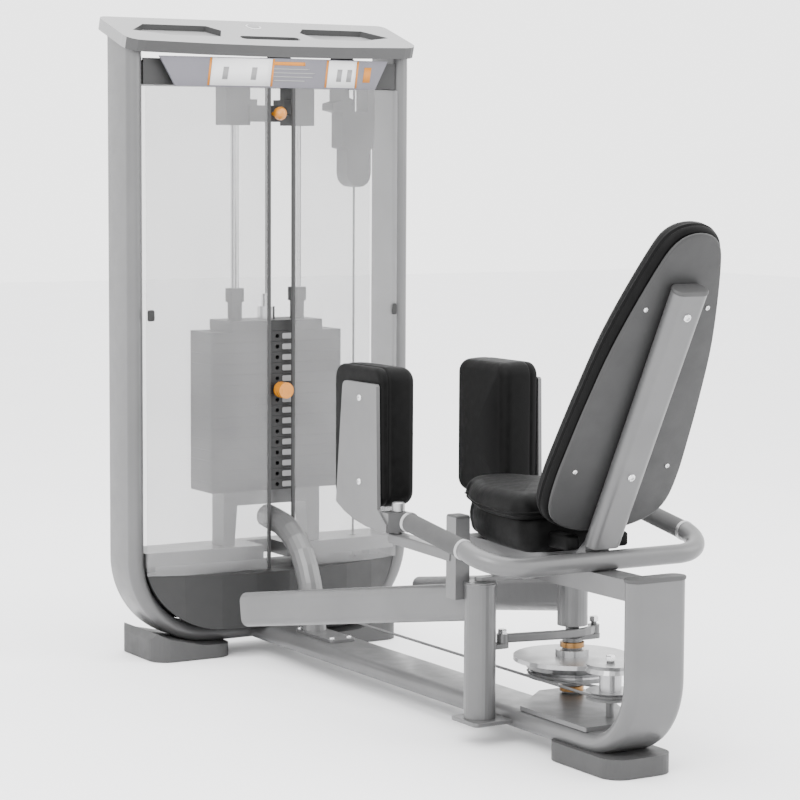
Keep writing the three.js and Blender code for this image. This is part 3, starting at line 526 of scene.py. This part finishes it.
def shroud_trim():
    """Dark edge strips and clips on the clear front panels."""
    for side, sign in SIGN.items():
        bottom = low("left_shroud").z
        top = high("left_shroud").z
        y = low("left_shroud").y + 2 * MM
        strip = oval_section(9 * MM, 8 * MM, 3 * MM)
        inner = Vector((sign * 32 * MM, y, 0))
        path = [inner + Vector((0, 0, bottom)), inner + Vector((0, 0, top))]
        finish_piece(tube(f"{side}_shroud_edge", strip, path, Vector((1, 0, 0))), "dark_paint", FRAME)
        clip = oval_section(16 * MM, 26 * MM, 4 * MM)
        place = Vector((sign * 322 * MM, TOWER_Y - 70 * MM, 800 * MM))
        piece = rounded_slab(f"{side}_shroud_clip", clip, place, Vector((1, 0, 0)), Vector((0, 0, 1)),
                             Vector((0, -1, 0)), 8 * MM, 2 * MM)
        finish_piece(piece, "dark_plastic", FRAME)


def stack_numbers():
    """A small light label beside the pin hole of each plate."""
    for n in range(1, PLATE_COUNT + 1):
        node = f"weight_plate_{n:02d}"
        body = "lifted_stack" if n <= SELECTED else FRAME
        section = oval_section(26 * MM, 13 * MM, 3 * MM)
        place = Vector((26 * MM, low(node).y, middle(node).z))
        label = rounded_slab(f"plate_label_{n:02d}", section, place, Vector((1, 0, 0)), Vector((0, 0, 1)),
                             Vector((0, -1, 0)), 0.8 * MM, 0.3 * MM)
        finish_piece(label, "sign_grey", body)


# ---------------------------------------------------------------- cushions


def outline_normals(points):
    count = len(points)
    normals = []
    for i in range(count):
        ax, ay = points[i - 1]
        bx, by = points[(i + 1) % count]
        length = math.hypot(bx - ax, by - ay) or 1.0
        normals.append(((by - ay) / length, -(bx - ax) / length))
    return normals


def cushion(name, outline, place, thickness, edge, crown, seams=(), swell=0.0):
    """A crowned closed pad. outline is anticlockwise in (u, v), place(u, v, w) gives the point in
    space, edge is the radius of the rim and crown the extra height in the middle of the front."""
    normals = outline_normals(outline)
    centre_u = sum(u for u, _ in outline) / len(outline)
    centre_v = sum(v for _, v in outline) / len(outline)
    back_edge = edge * 0.45
    profile = []
    for k in range(5):
        angle = math.radians(90 * k / 4)
        profile.append((back_edge * (1 - math.sin(angle)), back_edge * (1 - math.cos(angle))))
    steps = 12
    straight = thickness - back_edge - edge
    for k in range(1, steps):
        share = k / steps
        height = back_edge + straight * share
        if all(abs(height - seam) > 3 * MM for seam in seams):
            profile.append((-swell * math.sin(math.pi * share), height))
    for seam in seams:
        profile += [(0.2 * MM, seam - 2.5 * MM), (2.6 * MM, seam), (0.2 * MM, seam + 2.5 * MM)]
    profile.sort(key=lambda step: step[1])
    for k in range(9):
        angle = math.radians(90 * k / 8)
        profile.append((edge * (1 - math.cos(angle)), thickness - edge + edge * math.sin(angle)))
    rings = []
    for inset, height in profile:
        rings.append([place(u - nu * inset, v - nv * inset, height)
                      for (u, v), (nu, nv) in zip(outline, normals)])
    for k in range(1, 10):
        scale = 1 - k / 10
        lift = crown * (1 - scale * scale)
        ring = []
        for (u, v), (nu, nv) in zip(outline, normals):
            uu = centre_u + (u - nu * edge - centre_u) * scale
            vv = centre_v + (v - nv * edge - centre_v) * scale
            ripple = noise.noise(Vector((uu * 14, vv * 14, 3.1))) * 0.9 * MM
            ring.append(place(uu, vv, thickness + lift + ripple))
        rings.append(ring)
    piece = mesh_piece(name, *skin_rings(rings))
    subdivide = piece.modifiers.new("smooth", "SUBSURF")
    subdivide.levels = 1
    subdivide.render_levels = 1
    return piece


def rounded_outline(width, height, radius, centre, per_corner=10, per_side=8):
    points = []
    corners = ((1, 1), (-1, 1), (-1, -1), (1, -1))
    for index, (sx, sy) in enumerate(corners):
        for k in range(per_corner + 1):
            angle = math.radians(90 * index + 90 * k / per_corner)
            points.append((centre[0] + sx * (width / 2 - radius) + radius * math.cos(angle),
                           centre[1] + sy * (height / 2 - radius) + radius * math.sin(angle)))
        nx, ny = corners[(index + 1) % 4]
        start = math.radians(90 * (index + 1))
        end = (centre[0] + nx * (width / 2 - radius) + radius * math.cos(start),
               centre[1] + ny * (height / 2 - radius) + radius * math.sin(start))
        begin = points[-1]
        for k in range(1, per_side):
            share = k / per_side
            points.append((begin[0] + (end[0] - begin[0]) * share, begin[1] + (end[1] - begin[1]) * share))
    return points


def thigh_pad(side):
    """Upright pad on its plate, with the rounded face towards the user's leg."""
    sign = SIGN[side]
    node = f"{side}_thigh_pad"
    corner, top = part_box(node)
    outer = max(abs(corner.x), abs(top.x))
    width = top.y - corner.y
    height = top.z - corner.z + 8 * MM
    centre = ((corner.y + top.y) / 2, (corner.z + top.z) / 2)
    outline = rounded_outline(width, height, 30 * MM, centre)

    def place(u, v, w):
        return Vector((sign * (outer - w), u, v))

    thickness = abs(top.x - corner.x) - 8 * MM
    piece = cushion(f"{side}_leg_pad", outline, place, thickness, 24 * MM, 9 * MM,
                    seams=(20 * MM,), swell=1.5 * MM)
    if sign < 0:
        piece.data.flip_normals()
    finish_piece(piece, "black_vinyl", f"{side}_arm", replaced=(node,), smooth_angle=70)


def seat_outline(half, rear, nose, tip):
    """Plan of the seat: square at the back and narrowing to a rounded nose."""
    length = nose - rear
    right = []
    for k in range(25):
        share = k / 24
        reach = half - (half - tip) * share ** 2.2
        right.append((reach, rear + 34 * MM + (length - 34 * MM - tip * 0.75) * share))
    front = []
    for k in range(1, 12):
        angle = math.pi / 2 * k / 12
        front.append((tip * math.cos(angle), nose - tip * 0.75 + tip * 0.75 * math.sin(angle)))
    corner = []
    for k in range(8):
        angle = math.radians(-90 + 90 * k / 8)
        corner.append((half - 34 * MM + 34 * MM * math.cos(angle),
                       rear + 34 * MM + 34 * MM * math.sin(angle)))
    back = [((half - 34 * MM) * k / 6, rear) for k in range(1, 6)]
    side = back + corner + right + front
    return [(0.0, rear)] + side + [(0.0, nose)] + [(-x, y) for x, y in reversed(side)]


def seat():
    """Two stacked cushions and the two short ends beside the back tube."""
    corner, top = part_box("seat_pad")
    half = top.x
    rear = TOWER_Y - SEAT_REAR
    upper_outline = seat_outline(half, rear, top.y, 74 * MM)

    def upper_place(u, v, w):
        return Vector((u, v, SEAT_SPLIT + w))

    upper_height = top.z - SEAT_SPLIT - 6 * MM
    upper = cushion("seat_cushion", upper_outline, upper_place, upper_height, 34 * MM, 9 * MM,
                    seams=(12 * MM,), swell=2.5 * MM)
    finish_piece(upper, "black_vinyl", FRAME, replaced=("seat_pad",), smooth_angle=70)
    lower_outline = seat_outline(half - 26 * MM, rear + 7 * MM, top.y - 8 * MM, 60 * MM)

    def lower_place(u, v, w):
        return Vector((u, v, SEAT_SPLIT + 3 * MM - w))

    lower_height = SEAT_SPLIT - corner.z + 2 * MM
    lower = cushion("seat_base_cushion", lower_outline, lower_place, lower_height, 22 * MM, 0.0,
                    swell=3 * MM)
    lower.data.flip_normals()
    finish_piece(lower, "black_vinyl", FRAME, smooth_angle=70)
    tail_section = oval_section(30 * MM, 78 * MM, 10 * MM)
    for side, sign in SIGN.items():
        spot = Vector((sign * 57 * MM, corner.y + 40 * MM, corner.z + 13 * MM))
        tail = rounded_slab(f"{side}_seat_tail", tail_section, spot, Vector((1, 0, 0)),
                            Vector((0, 1, 0)), Vector((0, 0, 1)), 30 * MM, 6 * MM)
        finish_piece(tail, "black_vinyl", FRAME)


LEAN = math.radians(28)
BACK_UP = Vector((0, -math.sin(LEAN), math.cos(LEAN)))
BACK_OUT = Vector((0, math.cos(LEAN), math.sin(LEAN)))
BACK_FOOT = Vector((0, TOWER_Y - 1400 * MM, 390 * MM))
BACK_HALF = ((0, 50), (62, 55), (114, 78), (137, 112), (142, 170), (138, 240), (128, 350),
             (110, 477), (70, 632), (43, 686), (0, 702))


def smooth_loop(points, count):
    """Closed Catmull-Rom curve through the points, evenly stepped along its length."""
    size = len(points)
    fine = []
    for i in range(size):
        p0, p1, p2, p3 = (Vector(points[(i + k) % size]) for k in (-1, 0, 1, 2))
        for k in range(16):
            t = k / 16
            fine.append(0.5 * ((2 * p1) + (p2 - p0) * t + (2 * p0 - 5 * p1 + 4 * p2 - p3) * t * t
                               + (3 * p1 - p0 - 3 * p2 + p3) * t ** 3))
    lengths = [0.0]
    for a, b in zip(fine, fine[1:] + fine[:1]):
        lengths.append(lengths[-1] + (b - a).length)
    evenly = []
    index = 0
    for k in range(count):
        target = lengths[-1] * k / count
        while lengths[index + 1] < target:
            index += 1
        share = (target - lengths[index]) / (lengths[index + 1] - lengths[index])
        spot = fine[index].lerp(fine[(index + 1) % len(fine)], share)
        evenly.append((spot.x, spot.y))
    return evenly


def back_outline(margin):
    def grown(x, y):
        return ((x + margin if x else 0) * MM, (y + (margin if y > 400 else -margin)) * MM)

    right = [grown(x, y) for x, y in BACK_HALF]
    left = [(-x, y) for x, y in reversed(right[1:-1])]
    return smooth_loop(right + left, 120)


def backrest():
    def place(u, v, w):
        return BACK_FOOT + BACK_UP * v + BACK_OUT * w + Vector((u, 0, 0))

    def pad_place(u, v, w):
        return place(-u, v, w + 42.8 * MM)

    pad = cushion("backrest_cushion", back_outline(6), pad_place, 50 * MM, 26 * MM, 6 * MM,
                  seams=(16 * MM,), swell=1.5 * MM)
    finish_piece(pad, "black_vinyl", FRAME, replaced=("backrest_pad",), smooth_angle=70)
    shell = rounded_slab("backrest_cover", back_outline(0), BACK_FOOT + BACK_OUT * 34.3 * MM,
                         Vector((-1, 0, 0)), BACK_UP, BACK_OUT, 8 * MM, 3 * MM)
    finish_piece(shell, "shell_plastic", FRAME, replaced=("backrest_shell",))
    rear = 34.3 * MM
    for side, sign in SIGN.items():
        for row, (x, s) in enumerate(((70, 546), (107, 193))):
            spot = place(sign * x * MM, s * MM, rear)
            bolt(f"{side}_shell_screw_{row}", spot, -BACK_OUT, 5 * MM, FRAME)
    for row, s in enumerate((547, 196)):
        bolt(f"back_tube_bolt_{row}", place(0, s * MM, 0), -BACK_OUT, 8 * MM, FRAME)


def back_tube():
    """Moulded cap on the top end of the flat oval back tube."""
    section = oval_section(78 * MM, 35 * MM, 17 * MM)
    foot = BACK_FOOT + BACK_OUT * 17 * MM
    cap = rounded_slab("back_tube_cap", section, foot + BACK_UP * 591 * MM, Vector((-1, 0, 0)), BACK_OUT,
                       BACK_UP, 9 * MM, 4 * MM)
    finish_piece(cap, "foot_plastic", FRAME)


# ---------------------------------------------------------------- handlebar, arms and drive


def grip_points(side):
    sign = SIGN[side]
    rear = Vector((sign * 261 * MM, TOWER_Y - 1321 * MM, 421 * MM))
    front = Vector((sign * 268 * MM, TOWER_Y - 1121 * MM, 452.6 * MM))
    return rear, front


def handlebar():
    ends = {side: grip_points(side) for side in SIGN}
    rear_z = low("handlebar").z + 19 * MM
    rear_y = low("handlebar").y + 19 * MM
    joints = {side: rear - (front - rear).normalized() * 6 * MM for side, (rear, front) in ends.items()}
    corners = [Vector((sign * 258 * MM, rear_y, rear_z)) for sign in SIGN.values()]
    bend = bent_path([joints["left"], *corners, joints["right"]], 82 * MM)
    path = [ends["left"][0], *bend, ends["right"][0]]
    piece = tube("bar_tube", circle_section(19 * MM), path, Vector((0, 0, 1)))
    finish_piece(piece, "silver_paint", FRAME, replaced=("handlebar",))
    for side, (rear, front) in ends.items():
        along = front - rear
        length = along.length
        profile = [(17 * MM, 0), (18.8 * MM, 2 * MM), (18.8 * MM, length - 8 * MM),
                   (17 * MM, length - 6 * MM)]
        grip = turned_piece(f"{side}_handgrip", profile, rear, along)
        finish_piece(grip, "grip_rubber", FRAME, replaced=(f"{side}_grip",))
        for name, start in (("collar", 1 * MM), ("end_ring", length - 12 * MM)):
            ring = [(18.5 * MM, 0), (20.5 * MM, 1 * MM), (20.5 * MM, 7 * MM), (18.5 * MM, 8 * MM)]
            piece = turned_piece(f"{side}_grip_{name}", ring, rear + along.normalized() * start, along)
            finish_piece(piece, "wheel_metal", FRAME)
        dome = [(18.6 * MM, 0), (18.2 * MM, 2.5 * MM), (15 * MM, 5 * MM), (8 * MM, 6.4 * MM),
                (1 * MM, 6.8 * MM)]
        piece = turned_piece(f"{side}_grip_end", dome, front - along.normalized() * 6.9 * MM, along)
        finish_piece(piece, "dark_plastic", FRAME)


def arm_trim(side):
    """End cap, pivot cap, upright cap, pad bolts and pad knuckle of one arm."""
    sign = SIGN[side]
    body = f"{side}_arm"
    pivot = PIVOT[side]
    front = Vector((sign * 226 * MM, TOWER_Y - 364 * MM, 158 * MM))
    rear = pivot + Vector((0, 0, 284 * MM))
    along = (front - rear).normalized()
    across = Vector((1, 0, 0))
    across = (across - along * across.dot(along)).normalized()
    other = along.cross(across)
    section = oval_section(38 * MM, 76 * MM, 18 * MM)
    cap = rounded_slab(f"{side}_arm_end_cap", section, front - along * 2 * MM, across, other, along,
                       4 * MM, 2 * MM)
    finish_piece(cap, "foot_plastic", body)
    ring = [(33 * MM, 0), (33.5 * MM, 2 * MM), (33.5 * MM, 5 * MM), (30 * MM, 8 * MM), (1 * MM, 9 * MM)]
    top = pivot + Vector((0, 0, 316 * MM))
    finish_piece(turned_piece(f"{side}_pivot_cap", ring, top, Vector((0, 0, 1))), "silver_paint", body)
    upright = pivot + Vector((sign * 30.5 * MM, 36 * MM, 450 * MM))
    cap = rounded_slab(f"{side}_upright_cap", oval_section(33 * MM, 40 * MM, 5 * MM), upright,
                       Vector((1, 0, 0)), Vector((0, 1, 0)), Vector((0, 0, 1)), 6 * MM, 2.5 * MM)
    finish_piece(cap, "foot_plastic", body)
    outer = max(abs(low(f"{side}_pad_plate").x), abs(high(f"{side}_pad_plate").x))
    for row, z in enumerate((668, 494)):
        spot = Vector((sign * outer, TOWER_Y - 821 * MM, z * MM))
        bolt(f"{side}_pad_bolt_{row}", spot, Vector((sign, 0, 0)), 7 * MM, body)
    knuckle = [(13 * MM, 0), (13 * MM, 16 * MM), (11 * MM, 18 * MM), (1 * MM, 18 * MM)]
    spot = Vector((sign * 166 * MM, TOWER_Y - 916 * MM, 442 * MM))
    finish_piece(turned_piece(f"{side}_pad_knuckle", knuckle, spot, Vector((0, 0, 1))), "wheel_metal", body)


def drive_trim():
    """Bushings, nuts and link bolts round the right shaft and the idlers."""
    right = PIVOT["right"]
    up = Vector((0, 0, 1))
    ring = [(21 * MM, 0), (25 * MM, 1 * MM), (25 * MM, 11 * MM), (21 * MM, 12 * MM)]
    for name, z in (("lower_bushing", 82), ("upper_bushing", 172)):
        finish_piece(turned_piece(name, ring, right + up * z * MM, up), "bronze", "right_arm")
    stud = right + Vector((53 * MM, 0, 221 * MM))
    nut = [(10 * MM, 0), (10 * MM, 8 * MM), (8 * MM, 10 * MM), (1 * MM, 10 * MM)]
    finish_piece(turned_piece("link_nut", nut, stud, up, 6), "bolt_steel", "right_arm", smooth_angle=20)
    left_lug = PIVOT["left"] + Vector((53 * MM, 0, 214 * MM))
    finish_piece(turned_piece("link_bolt", nut, left_lug, up, 6), "bolt_steel", "tie_link", smooth_angle=20)
    idler = middle("idler_pulleys")
    idler_top = Vector((idler.x, idler.y, high("drive_bracket").z))
    finish_piece(turned_piece("idler_nut", nut, idler_top - up * 1 * MM, up, 6), "bolt_steel", FRAME,
                 smooth_angle=20)


def beam_trim():
    """Bolts through the foot of the brace."""
    for row in range(2):
        for column, x in enumerate((-22, 22)):
            spot = Vector((x * MM, TOWER_Y - (385 - 150 * row) * MM, 76.3 * MM))
            bolt(f"brace_bolt_{row}_{column}", spot, Vector((0, 0, 1)), 6 * MM, FRAME)


tower_tube()
beam_tube()
sign_graphics()
cap_badge()
shroud_trim()
stack_numbers()
for side in SIGN:
    thigh_pad(side)
    arm_trim(side)
seat()
backrest()
back_tube()
handlebar()
drive_trim()
beam_trim()

# ---------------------------------------------------------------- floor, light and camera


def floor():
    vertices = [(-14, -10, -0.001), (14, -10, -0.001), (14, 18, -0.001), (-14, 18, -0.001)]
    piece = mesh_piece("floor", vertices, [(0, 1, 2, 3)])
    material, nodes, links, shader = node_material("floor_white")
    clouds = noise_texture(nodes, links, 2.0)
    tint(nodes, links, clouds.outputs["Fac"], grey(0.90), grey(0.91), shader.inputs["Base Color"])
    shader.inputs["Roughness"].default_value = 0.7
    shader.inputs["Specular IOR Level"].default_value = 0.2
    piece.data.materials.append(material)
    piece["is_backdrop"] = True


def soft_light(name, place, target, size, power):
    lamp = bpy.data.lights.new(name, "AREA")
    lamp.shape = "RECTANGLE"
    lamp.size = size[0]
    lamp.size_y = size[1]
    lamp.energy = power
    light = bpy.data.objects.new(name, lamp)
    light.location = place
    light.rotation_euler = (Vector(target) - Vector(place)).to_track_quat("-Z", "Y").to_euler()
    bpy.context.scene.collection.objects.link(light)


def camera():
    lens = bpy.data.cameras.new("camera")
    lens.lens = 115.5
    lens.sensor_width = 36
    lens.clip_end = 100
    viewer = bpy.data.objects.new("camera", lens)
    yaw, pitch, roll = (math.radians(angle) for angle in (30.918, 5.319, 0.275))
    forward = Vector((math.sin(yaw) * math.cos(pitch), math.cos(yaw) * math.cos(pitch), -math.sin(pitch)))
    level = Vector((math.cos(yaw), -math.sin(yaw), 0))
    above = level.cross(forward)
    right = level * math.cos(roll) + above * math.sin(roll)
    up = above * math.cos(roll) - level * math.sin(roll)
    turn = Matrix((right, up, -forward)).transposed().to_4x4()
    viewer.matrix_world = Matrix.Translation((-2.8396, TOWER_Y - 5.385, 1.1544)) @ turn
    bpy.context.scene.collection.objects.link(viewer)
    bpy.context.scene.camera = viewer


floor()
soft_light("key", (-3.2, -2.4, 3.6), (0, 0, 0.6), (2.4, 2.4), 170)
soft_light("fill", (3.6, -2.2, 2.6), (0, 0, 0.6), (2.6, 2.6), 70)
soft_light("top", (0, 0.4, 4.2), (0, 0, 0), (3.4, 3.4), 130)
camera()
world = bpy.data.worlds.new("studio")
world.use_nodes = True
world.node_tree.nodes["Background"].inputs["Color"].default_value = (1, 1, 1, 1)
world.node_tree.nodes["Background"].inputs["Strength"].default_value = 3.2
bpy.context.scene.world = world

boxes = {"cad": cad_bounds, "visual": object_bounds()}
{name: [list(corner) for corner in box] for name, box in boxes.items()}
